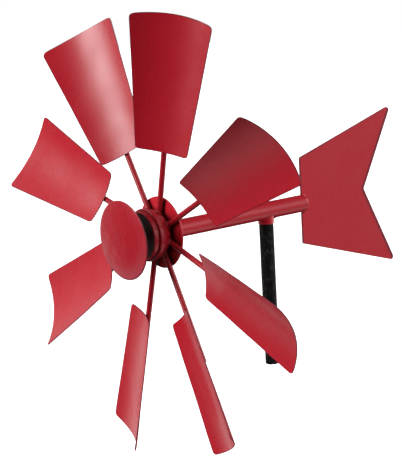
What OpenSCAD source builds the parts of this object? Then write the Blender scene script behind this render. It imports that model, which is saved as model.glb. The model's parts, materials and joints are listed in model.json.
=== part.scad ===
// Head of a small garden windmill: an eight-blade wind wheel on a ball-bearing hub,
// a tubular boom, a forked weather vane, and a stub post the head swivels on.
// Origin at the bottom centre of the post, +Z up, the wheel faces -Y, the vane trails to +Y.
// Millimetres and degrees. Names ending in _r are radii and in _t thicknesses.

/* [Wind wheel] */
// Radius of the wheel at the blade corners
wheel_r = 312.5; // [300:0.5:325]
// Rise of the curved outer edge above its corners
tip_rise = 5.5; // [1:0.5:8]
// Radius at the inner edge of the blades
root_r = 123.4; // [115:0.1:135]
// Half width of a blade at its inner edge
root_half = 38.6; // [30:0.1:42]
// Half width of a blade at its outer corners
tip_half = 58.9; // [45:0.1:64]
// Radius that the blade sheet is rolled to
cup_r = 131; // [115:0.1:200]
// Thickness of the blade sheet
blade_t = 1.4; // [1:0.1:2]
// Radius of the blade's outer corners
blade_corner_r = 6; // [2:0.5:10]
// Angle of the first blade, from +X towards +Z
first_angle = 75; // [0:1:90]
// Angle between the roll of a blade and its spoke
roll_skew = 2.8; // [0:0.1:3]
// How far the wheel runs out of true, positive with its top forward
wheel_tip = -0.7; // [-0.7:0.1:0.7]
// How far the wheel runs out of true, positive with its face turned towards +X
wheel_swing = -0.6; // [-0.6:0.1:0.6]

/* [Setting of the blades] */
// Pitch of the flattest blade
blade_pitch = 18.8; // [10:0.1:35]
// Extra pitch of the steepest blade
pitch_extra = 14; // [0:0.5:20]
// Where the steepest blade stands, counted from the first spoke
steepest_at = 12; // [0:1:359]
// How far the steepest blade sits in towards the hub
steep_slip = 2.5; // [0:0.1:4]
// Tilt of a blade off its spoke, inner edge forward
blade_tilt = 1.2; // [0:0.1:2]
// Wander of the spokes' spacing, once round the wheel
clock_once = 1; // [0:0.1:2]
// Wander of the spokes' spacing, twice round the wheel
clock_twice = 1.8; // [0:0.1:2]
// Where the wander twice round is greatest, counted from the first spoke
clock_from = 8.5; // [0:0.5:90]
// Forward lean of the spokes
spoke_lean = 0.8; // [0:0.1:1.5]
// How much every other spoke leans more or less than that
lean_stagger = 0.3; // [0:0.1:1]

/* [Spokes and hub] */
// Radius of a spoke rod
spoke_r = 3.97; // [3:0.01:4.1]
// Radius at the outer end of a spoke
spoke_end = 194.1; // [180:0.1:240]
// Radius of the hub barrel at its front shoulder
barrel_r = 37.4; // [37:0.1:40]
// Radius of the hub barrel at its back end
barrel_back_r = 27.2; // [24:0.1:30]
// Outer radius of the mouth ring
lip_r = 34.3; // [34:0.1:34.6]
// Inner radius of the mouth ring
lip_bore_r = 32.1; // [31.8:0.1:32.6]
// Front edge of the mouth ring, ahead of the spoke plane
lip_front = 30; // [29:0.5:34]
// Radius of the back plate
plate_r = 50.6; // [45:0.1:56]
// Thickness of the back plate
plate_t = 3; // [2:0.5:4]
// Radius of the nose disc
nose_r = 55.9; // [45:0.1:60]
// Rim of the nose disc, ahead of the spoke plane
nose_reach = 59.7; // [56:0.1:66]
// How far the nose disc sits out of square, positive with its top forward
nose_tip = 1.6; // [0:0.1:1.6]
// How far the nose disc sits out of square, positive with its face turned towards +X
nose_swing = -0.8; // [-0.8:0.1:0.8]
// Drop of the nose disc's centre below the axle
nose_drop = 1.1; // [0:0.1:2]
// Crown height of the nose disc
nose_crown = 4; // [3:0.5:8]
// Thickness of the nose disc
nose_t = 2; // [1.5:0.1:3]

/* [Bearings and axle] */
// Bore radius of a bearing, which is the radius of the axle
axle_r = 6; // [6:0.5:6]
// Outer radius of a bearing
bearing_r = 16; // [16:0.5:16]
// Width of a bearing
bearing_w = 10; // [10:0.5:10]
// Number of balls in a bearing
ball_count = 7; // [6:1:7]

/* [Boom and vane] */
// Height of the boom's axis above the foot of the post
boom_z = 230; // [200:1:400]
// Distance from the post's axis forward to the spoke plane
wheel_reach = 196.4; // [180:0.1:260]
// Outer radius of the boom tube
boom_r = 12.7; // [12.6:0.1:13]
// Wall of the boom tube
boom_wall = 2; // [1.5:0.1:2]
// Distance from the post's axis back to the vane's front edge
vane_front = 68.7; // [55:0.1:120]
// Length of the vane from its front edge to its tips
vane_len = 187; // [150:0.1:240]
// Depth of the notch between the tips
vane_notch = 61.5; // [20:0.1:90]
// Half height of the vane's front edge
vane_half_front = 64.7; // [40:0.1:80]
// Half height of the vane at its tips
vane_half_tip = 121.8; // [90:0.1:150]
// Height of the vane's centre line above the boom's axis
vane_lift = 4; // [0:0.1:6]
// How much lower the vane is set at its tips
vane_droop = 1; // [0:0.5:3]
// Thickness of the vane
vane_t = 2.5; // [1.5:0.1:3]

/* [Post and pivot] */
// Outer radius of the post, a half inch pipe
post_r = 10.65; // [10.65:0.01:10.65]
// Bore radius of the post
post_bore_r = 7.9; // [7.8:0.01:8]
// Length of the plain bore, up to the spindle's seat
post_bore_len = 150; // [120:1:170]
// Radius of the seat reamed in the post's top for the spindle
seat_r = 8.6; // [8.5:0.01:8.8]
// Gap between the boom's axis and the collar's lower face
collar_drop = 18.4; // [17:0.1:20]
// Outer radius of the collar
collar_r = 11.6; // [11.2:0.1:12]
// Radius of the pivot journal
journal_r = 6; // [5.5:0.1:6]
// Radial running clearance of the journal in its bush
running_gap = 0.05; // [0.02:0.01:0.08]

/* [Hidden] */
$fn = 96;
// Clearance between pieces that are fixed together, and of the closest fits
gap = 0.02;
close_gap = 0.01;

// Stations along the wheel's axis, measured forward from the spoke plane
spacer_len = 2.5;
washer_t = 1.5;
shoulder_front = 22;
flank_front = shoulder_front - 2.5;
mouth_seat = 16;
web_front = 18.5;
front_bearing_back = web_front - bearing_w;
rear_bearing_front = front_bearing_back - spacer_len;
rear_bearing_back = rear_bearing_front - bearing_w;
front_bearing_mid = front_bearing_back + bearing_w / 2;
rear_bearing_mid = rear_bearing_back + bearing_w / 2;
barrel_back = rear_bearing_back + 0.2;
plate_front = -4.3;
boom_start = -11;
axle_back = -40;
plug_back = -45;
nut_back = web_front + washer_t;

// Inside the bearings
ball_r = 2.975;
ball_track_r = 11.3;
track_gap = 0.075;
outer_race_bore_r = 13.2;
inner_race_r = 9.4;

nut_r = 10.97; // across the corners
boom_in_r = boom_r - boom_wall;
boom_end = vane_front + 3;
bush_r = journal_r + 2;
collar_z = boom_z - collar_drop;
thrust_space = 1;
post_top = collar_z - thrust_space;
screw_z = collar_z + 5.6;

body_red = [0.72, 0.10, 0.12];
dark_red = [0.55, 0.07, 0.09];
pipe_black = [0.07, 0.07, 0.07];
rubber_black = [0.04, 0.04, 0.04];
plain_steel = [0.62, 0.63, 0.65];
bright_steel = [0.80, 0.81, 0.83];
bronze = [0.66, 0.47, 0.24];

// ---- helpers ----

function unit(v) = v / norm(v);
function short_turn(angle) = angle > 180 ? angle - 360 : angle < -180 ? angle + 360 : angle;

// Points of the arc that rounds a corner
function corner_arc(before, corner, after, radius, steps) =
    let (to_before = unit(before - corner),
         to_after = unit(after - corner),
         half = acos(to_before * to_after) / 2,
         centre = corner + unit(to_before + to_after) * radius / sin(half),
         first = corner + to_before * radius / tan(half) - centre,
         last = corner + to_after * radius / tan(half) - centre,
         start = atan2(first[1], first[0]),
         sweep = short_turn(atan2(last[1], last[0]) - start))
    [for (i = [0:steps])
        let (angle = start + sweep * i / steps)
        centre + radius * [cos(angle), sin(angle)]];

// A closed outline with each corner rounded to its own radius, 0 for a sharp one
function rounded(points, radii, steps = 7) =
    let (count = len(points))
    [for (i = [0:count - 1])
        each radii[i] == 0
            ? [points[i]]
            : corner_arc(points[(i + count - 1) % count], points[i], points[(i + 1) % count],
                radii[i], steps)];

// Radius of the sphere that rises by crown over a rim
function dome_r(rim_r, crown) = (rim_r * rim_r + crown * crown) / (2 * crown);

// Put a piece that is drawn round the wheel's centre in its place on the head
module at_wheel() { translate([0, -wheel_reach, boom_z]) children(); }

// Local z runs forward along the wheel's axis
module on_axle() { at_wheel() rotate([90, 0, 0]) children(); }

// Turn a profile of radius and forward distance into a ring round the wheel's axis
module ring_on_axle() { on_axle() rotate_extrude() children(); }

// The plane of the spokes and the back plate, which is not quite square to the axle
module in_wheel_plane() { at_wheel() rotate([wheel_tip, 0, wheel_swing]) children(); }

// Local x runs out along spoke i, y towards the next spoke, z forward
module on_spoke(i) {
    in_wheel_plane()
        rotate([0, -(first_angle + spoke_angle(i) + clock_of(i)), 0])
        rotate([90, 0, 0])
        rotate([0, -lean_of(i), 0]) children();
}

// ---- setting of the blades and spokes ----

// Even spacing, counted from the first spoke
function spoke_angle(i) = 45 * i;

// The blades are set by hand: the steepest stands near the first spoke, and the pitch eases
// off round the wheel from there. A steep blade also sits further in along its spoke.
function steepness(i) = pow((1 + cos(spoke_angle(i) - steepest_at)) / 2, 2);
function pitch_of(i) = blade_pitch + pitch_extra * steepness(i);
function slip_of(i) = -steep_slip * steepness(i);

// The spacing wanders once and twice round the wheel, and every other spoke leans a little more
function clock_of(i) = clock_once * sin(spoke_angle(i))
    + clock_twice * cos(2 * (spoke_angle(i) - clock_from));
function lean_of(i) = spoke_lean + (i % 2 == 0 ? lean_stagger : -lean_stagger);

// ---- wind wheel ----

// Blade outline, as distance out along the spoke and distance across it
tip_steps = 12;
tip_edge = [for (k = [0:tip_steps])
    let (across = 2 * k / tip_steps - 1)
    [wheel_r + tip_rise * (1 - across * across), across * tip_half]];
inner_corner_r = blade_corner_r - 1;
blade_outline = rounded(
    concat([[root_r, -root_half]], tip_edge, [[root_r, root_half]]),
    concat([inner_corner_r, blade_corner_r], [for (k = [1:tip_steps - 1]) 0],
        [blade_corner_r, inner_corner_r]));

// Rolled sheet that rests on the front of its spoke and tips about the spoke's end
module blade(i) {
    seat = spoke_r + gap + blade_t / 2;
    mid_r = (wheel_r + root_r) / 2;
    span = wheel_r - root_r + 40;
    hinge = spoke_end - slip_of(i) + 0.5;
    color(body_red)
    on_spoke(i)
        translate([slip_of(i), 0, 0])
        rotate([pitch_of(i), 0, 0])
        translate([hinge, 0, seat])
        rotate([0, blade_tilt, 0])
        translate([-hinge, 0, 0])
        intersection() {
            translate([mid_r, 0, cup_r]) rotate([0, 0, -roll_skew]) rotate([0, 90, 0])
                difference() {
                    cylinder(r = cup_r + blade_t / 2, h = span, center = true, $fn = 240);
                    cylinder(r = cup_r - blade_t / 2, h = span + 2, center = true, $fn = 240);
                }
            translate([0, 0, -3]) linear_extrude(height = 30) polygon(blade_outline);
        }
}

module blade_1() { blade(0); }
module blade_2() { blade(1); }
module blade_3() { blade(2); }
module blade_4() { blade(3); }
module blade_5() { blade(4); }
module blade_6() { blade(5); }
module blade_7() { blade(6); }
module blade_8() { blade(7); }

// Outside of the hub barrel grown by a margin, from its back end forward to the shoulder
function barrel_flank(margin = 0) = [for (k = [0:6])
    let (t = k / 6)
    [barrel_back_r + (barrel_r - barrel_back_r) * sin(90 * t) + margin,
     barrel_back + (flank_front - barrel_back) * t]];

// A rod welded to the barrel's flank, coped to fit it
module spoke(i) {
    start = barrel_back_r - 6;
    color(body_red)
    difference() {
        on_spoke(i) rotate([0, 90, 0]) translate([0, 0, start])
            cylinder(r = spoke_r, h = spoke_end - start, $fn = 48);
        ring_on_axle() polygon(concat(
            [[0, barrel_back - 3], [barrel_back_r + gap, barrel_back - 3]],
            barrel_flank(gap),
            [[0, flank_front]]));
    }
}

module spoke_1() { spoke(0); }
module spoke_2() { spoke(1); }
module spoke_3() { spoke(2); }
module spoke_4() { spoke(3); }
module spoke_5() { spoke(4); }
module spoke_6() { spoke(5); }
module spoke_7() { spoke(6); }
module spoke_8() { spoke(7); }

// Barrel with a recess for the mouth ring and a bearing seat either side of a narrow bore
module hub_barrel() {
    recess_r = lip_bore_r - 0.6;
    rib_r = 13.6;
    color(body_red)
    ring_on_axle() polygon(concat(barrel_flank(), [
        [barrel_r, shoulder_front - 1.2],
        [barrel_r - 0.5, shoulder_front - 0.4],
        [barrel_r - 1.3, shoulder_front],
        [lip_r + gap, shoulder_front], [lip_r + gap, mouth_seat],
        [recess_r, mouth_seat], [recess_r, web_front],
        [bearing_r, web_front], [bearing_r, front_bearing_back],
        [rib_r, front_bearing_back], [rib_r, rear_bearing_front],
        [bearing_r, rear_bearing_front], [bearing_r, barrel_back]]));
}

module hub_mouth_ring() {
    back = mouth_seat + gap;
    color(body_red)
    ring_on_axle() polygon(rounded(
        [[lip_bore_r, back], [lip_r, back], [lip_r, lip_front], [lip_bore_r, lip_front]],
        [0, 0, 1.2, 0.6], 4));
}

module hub_back_plate() {
    bore_r = bearing_r + 0.6;
    chamfer = 0.5;
    back = plate_front - plate_t;
    color(dark_red)
    in_wheel_plane() rotate([90, 0, 0]) rotate_extrude() polygon([
        [bore_r, back], [plate_r - chamfer, back], [plate_r, back + chamfer],
        [plate_r, plate_front - chamfer], [plate_r - chamfer, plate_front],
        [bore_r, plate_front]]);
}

// Thin ribbed washer across the hub's mouth; columns are radius and station
module dust_seal() {
    color(rubber_black)
    ring_on_axle() polygon([
        [axle_r + 0.35, 27], [axle_r + 0.35, 28.8], [axle_r + 2.4, 29], [axle_r + 3.4, 28.2],
        [18.5, 28.2], [19, 28.8], [20.5, 28.8], [21, 28.2], [28.6, 28.2], [29.4, 29],
        [lip_bore_r - 0.6, 29], [lip_bore_r - gap, 28.4], [lip_bore_r - gap, 26.2],
        [lip_bore_r - 1, 26.2], [lip_bore_r - 2, 27]]);
}

// ---- bearings, each placed by the station of its middle ----

module at_station(station) { on_axle() translate([0, 0, station]) children(); }

// A race between two radii, grooved for the balls
module race(middle, inner_r, outer_r) {
    color(bright_steel)
    at_station(middle) rotate_extrude() difference() {
        translate([inner_r, -bearing_w / 2 + gap])
            square([outer_r - inner_r, bearing_w - 2 * gap]);
        translate([ball_track_r, 0]) circle(r = ball_r + track_gap);
    }
}

module outer_race(middle) { race(middle, outer_race_bore_r, bearing_r - close_gap); }
module inner_race(middle) { race(middle, axle_r + close_gap, inner_race_r); }

module balls(middle) {
    color(bright_steel)
    at_station(middle)
        for (k = [0:ball_count - 1])
            rotate([0, 0, k * 360 / ball_count]) translate([ball_track_r, 0, 0])
                sphere(r = ball_r, $fn = 32);
}

// Two flat rings, one on each side of the bearing's middle
module ring_pair(middle, inner_r, outer_r, offset, thickness) {
    at_station(middle)
        for (side = [-1, 1]) translate([0, 0, side * offset - thickness / 2]) difference() {
            cylinder(r = outer_r, h = thickness);
            translate([0, 0, -1]) cylinder(r = inner_r, h = 3);
        }
}

module cage(middle) {
    color(bronze)
    ring_pair(middle, inner_r = ball_track_r - 1, outer_r = ball_track_r + 1,
        offset = 3.35, thickness = 0.5);
}

module shields(middle) {
    color(rubber_black)
    ring_pair(middle, inner_r = inner_race_r + 0.08, outer_r = outer_race_bore_r - gap,
        offset = 4.5, thickness = 0.7);
}

module front_bearing_outer_race() { outer_race(front_bearing_mid); }
module front_bearing_balls() { balls(front_bearing_mid); }
module front_bearing_cage() { cage(front_bearing_mid); }
module front_bearing_shields() { shields(front_bearing_mid); }
module front_bearing_inner_race() { inner_race(front_bearing_mid); }
module rear_bearing_outer_race() { outer_race(rear_bearing_mid); }
module rear_bearing_balls() { balls(rear_bearing_mid); }
module rear_bearing_cage() { cage(rear_bearing_mid); }
module rear_bearing_shields() { shields(rear_bearing_mid); }
module rear_bearing_inner_race() { inner_race(rear_bearing_mid); }

module bearing_spacer() {
    color(plain_steel)
    ring_on_axle() translate([axle_r + 0.03, rear_bearing_front + gap])
        square([2, spacer_len - 2 * gap]);
}

// ---- axle and nose ----

module axle_washer() {
    color(plain_steel)
    ring_on_axle() translate([axle_r + 0.05, web_front + gap]) square([3, washer_t - 2 * gap]);
}

// A hexagon bored for the axle; the bore's cutter overruns both faces
module hex_nut(back, height, overrun) {
    at_station(back) difference() {
        cylinder(r = nut_r, h = height, $fn = 6);
        translate([0, 0, -overrun]) cylinder(r = axle_r + gap, h = height + 2 * overrun);
    }
}

module axle_nut() {
    color(plain_steel) hex_nut(nut_back, height = 6, overrun = 1);
}

module axle_shaft() {
    color(plain_steel) at_station(axle_back) cylinder(r = axle_r, h = nose_reach - axle_back);
}

// Long nut that ends just behind the nose disc
module nose_nut() {
    height = 12;
    front = nose_reach + nose_crown - nose_t - 0.8;
    color(body_red) hex_nut(front - height, height, overrun = 2);
}

// A shallow dished disc, welded a little out of square
module nose_disc() {
    ball = dome_r(nose_r, nose_crown);
    color(body_red)
    at_wheel() translate([0, -nose_reach, -nose_drop])
        rotate([nose_tip, 0, nose_swing]) rotate([90, 0, 0])
        intersection() {
            translate([0, 0, nose_crown - ball]) difference() {
                sphere(r = ball, $fn = 180);
                sphere(r = ball - nose_t, $fn = 180);
            }
            translate([0, 0, -4]) cylinder(r = nose_r, h = 20);
        }
}

// ---- boom and vane ----

// Stepped plug between the rear bearing, the axle and the boom
module boom_plug() {
    neck_r = 9;
    step = boom_start - gap;
    color(plain_steel)
    ring_on_axle() polygon([
        [axle_r + close_gap, rear_bearing_back - gap], [neck_r, rear_bearing_back - gap],
        [neck_r, step], [boom_in_r - close_gap, step],
        [boom_in_r - close_gap, plug_back], [axle_r + close_gap, plug_back]]);
}

// Cutter for the vane, with z measured from the boom's axis
module vane_slot(length) {
    translate([-vane_t / 2 - gap, vane_front - gap, -boom_r - 1])
        cube([vane_t + 2 * gap, length, 2 * boom_r + 2]);
}

module boom_tube() {
    front_y = -wheel_reach - boom_start;
    length = boom_end - front_y;
    color(body_red)
    difference() {
        translate([0, front_y, boom_z]) rotate([-90, 0, 0]) difference() {
            cylinder(r = boom_r, h = length);
            translate([0, 0, -1]) cylinder(r = boom_in_r, h = length + 2);
        }
        translate([0, 0, boom_z]) vane_slot(10);
        // seat of the pivot bush, through the lower wall
        translate([0, 0, boom_z - boom_r - 2]) cylinder(r = bush_r + 0.05, h = boom_r);
    }
}

// Weld metal that closes the boom's end round the vane
module boom_end_weld() {
    crown = 5;
    cap_r = dome_r(boom_r, crown);
    color(body_red)
    translate([0, 0, boom_z]) difference() {
        union() {
            translate([0, boom_end - 9, 0]) rotate([-90, 0, 0])
                cylinder(r = boom_in_r - close_gap, h = 9.5);
            intersection() {
                translate([0, boom_end + crown - cap_r, 0]) sphere(r = cap_r, $fn = 120);
                translate([0, boom_end + gap, 0]) rotate([-90, 0, 0])
                    cylinder(r = boom_r, h = 10);
            }
        }
        vane_slot(20);
    }
}

// Vane outline, as distance back from the post's axis and height from the vane's centre line
vane_back = vane_front + vane_len;
vane_outline = rounded([
        [vane_front, -vane_half_front],
        [vane_back, -vane_droop - vane_half_tip],
        [vane_back - vane_notch, -vane_droop / 2],
        [vane_back, vane_half_tip - vane_droop],
        [vane_front, vane_half_front]],
    [2, 4.5, 2, 4.5, 2]);

module tail_vane() {
    color(body_red)
    translate([-vane_t / 2, 0, boom_z + vane_lift]) rotate([90, 0, 90])
        linear_extrude(height = vane_t) polygon(vane_outline);
}

// ---- pivot ----

// Cutter for the boom above the post
module boom_cut() {
    translate([0, -30, boom_z]) rotate([-90, 0, 0]) cylinder(r = boom_r + gap, h = 60);
}

// Cutter for the retaining screw, running from its start on the -X side towards the axis
module screw_cut(start_x, radius, length) {
    translate([start_x, 0, screw_z]) rotate([0, 90, 0])
        cylinder(r = radius, h = length, $fn = 48);
}

module pivot_collar() {
    color(body_red)
    difference() {
        translate([0, 0, collar_z]) cylinder(r = collar_r, h = collar_drop);
        translate([0, 0, collar_z - 1]) cylinder(r = bush_r + gap, h = collar_drop + 2);
        boom_cut();
        screw_cut(-collar_r - 1, radius = 2.5, length = 6);
    }
}

// Fillet of weld metal between the collar and the underside of the boom, set towards the vane
module collar_weld() {
    fillet = 8;
    shift = 2.6;
    foot_r = collar_r - 2.4;
    foot_z = collar_z + 1.5;
    half_width = collar_r + 0.3;
    color(body_red)
    difference() {
        intersection() {
            translate([0, shift, 0]) rotate_extrude() polygon(concat(
                [[0, foot_z], [foot_r, foot_z]],
                [for (a = [0:15:90]) [foot_r + fillet * (1 - cos(a)), foot_z + fillet * sin(a)]],
                [[0, foot_z + fillet]]));
            translate([-half_width, -30, collar_z]) cube([2 * half_width, 60, 30]);
        }
        translate([0, 0, collar_z - 1]) cylinder(r = collar_r + gap, h = collar_drop + 2);
        boom_cut();
        screw_cut(-collar_r - 3, radius = 2.9, length = 6);
    }
}

module pivot_bush() {
    color(bronze)
    difference() {
        translate([0, 0, collar_z + 0.4]) cylinder(r = bush_r, h = collar_drop + 1.6);
        translate([0, 0, collar_z - 1])
            cylinder(r = journal_r + running_gap, h = collar_drop + 6);
        screw_cut(-collar_r, radius = 2, length = collar_r);
    }
}

// A grub screw whose dog point keeps the head on its spindle
module retaining_screw() {
    body_start = bush_r + 0.1;
    color(plain_steel)
    translate([0, 0, screw_z]) rotate([0, -90, 0]) difference() {
        union() {
            translate([0, 0, body_start])
                cylinder(r = 2.48, h = collar_r - 0.3 - body_start, $fn = 48);
            translate([0, 0, journal_r - 1.1]) cylinder(r = 1.8, h = 3.6, $fn = 48);
        }
        // hexagon socket
        translate([0, 0, collar_r - 2]) cylinder(r = 1.44, h = 3, $fn = 6);
    }
}

module post_tube() {
    color(pipe_black)
    difference() {
        cylinder(r = post_r, h = post_top);
        translate([0, 0, -1]) cylinder(r = post_bore_r, h = post_bore_len + 2);
        translate([0, 0, post_bore_len]) cylinder(r = seat_r, h = post_top);
    }
}

// A turned plug in the post's reamed top, with a journal and a groove for the retaining screw
module pivot_spindle() {
    foot = post_bore_len + 2;
    plug_r = seat_r - close_gap;
    groove_r = journal_r - 1.5;
    groove_half = 2.8;
    chamfer = 1;
    chamfer_z = boom_z + 2.5;
    color(plain_steel)
    rotate_extrude() polygon([
        [0, foot], [plug_r, foot], [plug_r, post_top], [journal_r, post_top],
        [journal_r, screw_z - groove_half], [groove_r, screw_z - groove_half],
        [groove_r, screw_z + groove_half], [journal_r, screw_z + groove_half],
        [journal_r, chamfer_z], [journal_r - chamfer, chamfer_z + chamfer],
        [0, chamfer_z + chamfer]]);
}

module thrust_washer() {
    color(rubber_black)
    difference() {
        translate([0, 0, post_top + gap]) cylinder(r = post_r - 0.05, h = thrust_space - 3 * gap);
        cylinder(r = journal_r + 0.1, h = boom_z);
    }
}

// ---- the assembly ----

blade_1();
blade_2();
blade_3();
blade_4();
blade_5();
blade_6();
blade_7();
blade_8();
spoke_1();
spoke_2();
spoke_3();
spoke_4();
spoke_5();
spoke_6();
spoke_7();
spoke_8();
hub_barrel();
hub_mouth_ring();
hub_back_plate();
dust_seal();
front_bearing_outer_race();
front_bearing_balls();
front_bearing_cage();
front_bearing_shields();
front_bearing_inner_race();
rear_bearing_outer_race();
rear_bearing_balls();
rear_bearing_cage();
rear_bearing_shields();
rear_bearing_inner_race();
bearing_spacer();
axle_washer();
axle_nut();
axle_shaft();
nose_nut();
nose_disc();
boom_plug();
boom_tube();
boom_end_weld();
tail_vane();
pivot_collar();
collar_weld();
pivot_bush();
retaining_screw();
post_tube();
pivot_spindle();
thrust_washer();
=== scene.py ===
# Looks for the head of a small garden windmill: rolled sheet blades on rod spokes, a ball-bearing
# hub, a dished nose disc, a tubular boom with a forked vane, and a black stub post.
# Metres, +Z up, the wheel faces -Y, the vane trails to +Y.

import json
import math

import bmesh
import bpy
from mathutils import Matrix, Vector, noise


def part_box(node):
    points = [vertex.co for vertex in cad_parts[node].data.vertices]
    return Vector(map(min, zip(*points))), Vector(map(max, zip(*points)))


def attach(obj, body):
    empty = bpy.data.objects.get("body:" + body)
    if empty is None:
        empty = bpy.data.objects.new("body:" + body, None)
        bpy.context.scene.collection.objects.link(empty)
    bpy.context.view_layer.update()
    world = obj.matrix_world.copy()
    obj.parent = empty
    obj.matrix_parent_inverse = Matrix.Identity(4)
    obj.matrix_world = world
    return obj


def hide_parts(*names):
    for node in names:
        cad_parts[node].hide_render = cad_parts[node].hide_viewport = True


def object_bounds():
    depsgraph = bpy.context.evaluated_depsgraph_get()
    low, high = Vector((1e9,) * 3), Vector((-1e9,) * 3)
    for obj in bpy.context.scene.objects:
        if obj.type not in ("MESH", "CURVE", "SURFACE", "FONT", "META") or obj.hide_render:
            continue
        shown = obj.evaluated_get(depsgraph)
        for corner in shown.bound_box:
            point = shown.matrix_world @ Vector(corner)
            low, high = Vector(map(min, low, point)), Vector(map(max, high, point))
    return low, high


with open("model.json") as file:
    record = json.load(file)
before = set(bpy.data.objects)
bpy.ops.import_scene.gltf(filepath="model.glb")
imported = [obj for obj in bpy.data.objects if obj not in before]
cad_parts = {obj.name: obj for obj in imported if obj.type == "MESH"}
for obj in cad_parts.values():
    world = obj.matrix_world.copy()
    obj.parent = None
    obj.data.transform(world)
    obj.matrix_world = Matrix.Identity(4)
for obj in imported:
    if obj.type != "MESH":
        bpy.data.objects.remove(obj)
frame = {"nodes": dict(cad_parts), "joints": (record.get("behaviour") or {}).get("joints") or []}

cad_lo, cad_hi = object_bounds()
nodes = frame["nodes"]
joints = {joint["name"]: joint for joint in frame["joints"]}
HUB = Vector(joints["wheel_spin"]["pos_m"])
MM = 0.001


# ---------------------------------------------------------------- node helpers

class Nodes:
    """Short names for building the node tree of a material or a world."""

    def __init__(self, owner):
        owner.use_nodes = True
        self.tree = owner.node_tree
        self.tree.nodes.clear()

    def node(self, kind, inputs=(), **settings):
        """Add a node. inputs maps a socket's name or number to a value or to a feeding socket."""
        made = self.tree.nodes.new(kind)
        for key, value in settings.items():
            setattr(made, key, value)
        for key, value in dict(inputs).items():
            if isinstance(value, bpy.types.NodeSocket):
                self.tree.links.new(value, made.inputs[key])
            else:
                made.inputs[key].default_value = value
        return made

    def vector(self, operation, first, second):
        return self.node("ShaderNodeVectorMath", {0: first, 1: second}, operation=operation)


class Tree(Nodes):
    """A material's tree, with the textures, masks and mixes that the finishes share."""

    def __init__(self, name):
        self.material = bpy.data.materials.new(name)
        super().__init__(self.material)
        self.coord = self.node("ShaderNodeTexCoord").outputs["Object"]

    def noise(self, scale, detail=3.0, rough=0.5, shift=(0, 0, 0), stretch=(1, 1, 1), distort=0.0):
        mapping = self.node("ShaderNodeMapping",
                            {"Vector": self.coord, "Location": shift, "Scale": stretch})
        return self.node("ShaderNodeTexNoise", {
            "Vector": mapping.outputs[0], "Scale": scale, "Detail": detail,
            "Roughness": rough, "Distortion": distort}).outputs["Fac"]

    def span(self, value, low, high, at_low=0.0, at_high=1.0):
        """Ease from at_low to at_high while the value goes from low to high."""
        return self.node("ShaderNodeMapRange", {
            "Value": value, "From Min": low, "From Max": high, "To Min": at_low,
            "To Max": at_high}, interpolation_type="SMOOTHSTEP").outputs[0]

    def math(self, operation, first, second, third=0.0):
        return self.node("ShaderNodeMath", {0: first, 1: second, 2: third},
                         operation=operation).outputs[0]

    def times(self, first, second):
        return self.math("MULTIPLY", first, second)

    def scaled(self, value, by, plus):
        return self.math("MULTIPLY_ADD", value, by, plus)

    def roughen(self, rough, mask, amount):
        return self.math("ADD", rough, self.times(mask, amount))

    def mix(self, mask, color, other):
        return self.node("ShaderNodeMix", {0: mask, 6: color, 7: other},
                         data_type="RGBA").outputs[2]

    def tint(self, color, mask, amount, other):
        return self.mix(self.times(mask, amount), color, other)

    def bumps(self, *layers):
        """Stack bumps from the lowest up, each a pair of height and depth in mm."""
        normal = None
        for height, depth in layers:
            inputs = {"Height": height, "Distance": depth * MM, "Strength": 1.0}
            if normal is not None:
                inputs["Normal"] = normal
            normal = self.node("ShaderNodeBump", inputs).outputs[0]
        return normal

    def edges(self, radius, low=0.02, high=0.35):
        """1 on sharp edges, 0 on open faces."""
        bevel = self.node("ShaderNodeBevel", {"Radius": radius}, samples=6)
        geometry = self.node("ShaderNodeNewGeometry")
        dot = self.vector("DOT_PRODUCT", bevel.outputs[0], geometry.outputs["Normal"])
        return self.span(self.math("SUBTRACT", 1.0, dot.outputs["Value"]), low, high)

    def hollows(self, distance):
        """1 in tight corners, 0 on open faces."""
        occlusion = self.node("ShaderNodeAmbientOcclusion", {"Distance": distance}, samples=6)
        return self.span(occlusion.outputs["AO"], low=0.25, high=0.95, at_low=1.0, at_high=0.0)

    def inward(self, y, z, normal_y, normal_z):
        """Distance of a point of the object from the line through (y, z), along its normal."""
        offset = self.vector("SUBTRACT", self.coord, (0, y, z))
        dot = self.vector("DOT_PRODUCT", offset.outputs[0], (0, normal_y, normal_z))
        return dot.outputs["Value"]

    def surface(self, shader):
        self.node("ShaderNodeOutputMaterial", {"Surface": shader.outputs[0]})
        return self.material

    def shade(self, color, rough, normal, metallic=0.0, specular=0.5):
        return self.surface(self.node("ShaderNodeBsdfPrincipled", {
            "Base Color": color, "Roughness": rough, "Metallic": metallic,
            "Specular IOR Level": specular, "Coat Weight": 0.0, "Coat Roughness": 0.2,
            "Normal": normal, "Coat Normal": normal}))


def rgb(red, green, blue):
    return (red, green, blue, 1.0)


# ---------------------------------------------------------------- red enamel

RED = (0.390, 0.0090, 0.0190)
RED_DEEP = (0.330, 0.0060, 0.0140)
RED_PALE = (0.425, 0.0130, 0.0240)
# painted shade: the dark red laid on thin edges, the nose's rim lip and the sheet outlines
EDGE_SHADE_RED = rgb(0.150, 0.003, 0.018)
# painted shade: the dark red filled into corners and recesses
CORNER_SHADE_RED = rgb(0.045, 0.003, 0.004)

# the vane's outline: the notch's depth, the half heights of its front edge and of its tips,
# and how far the middle of the front edge and the foot of the notch lie above the tips' middle
VANE_NOTCH = 61.5 * MM
VANE_HALF_FRONT, VANE_HALF_TIP = 64.7 * MM, 121.8 * MM
VANE_FRONT_RISE, VANE_NOTCH_RISE = 1.0 * MM, 0.5 * MM


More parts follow.
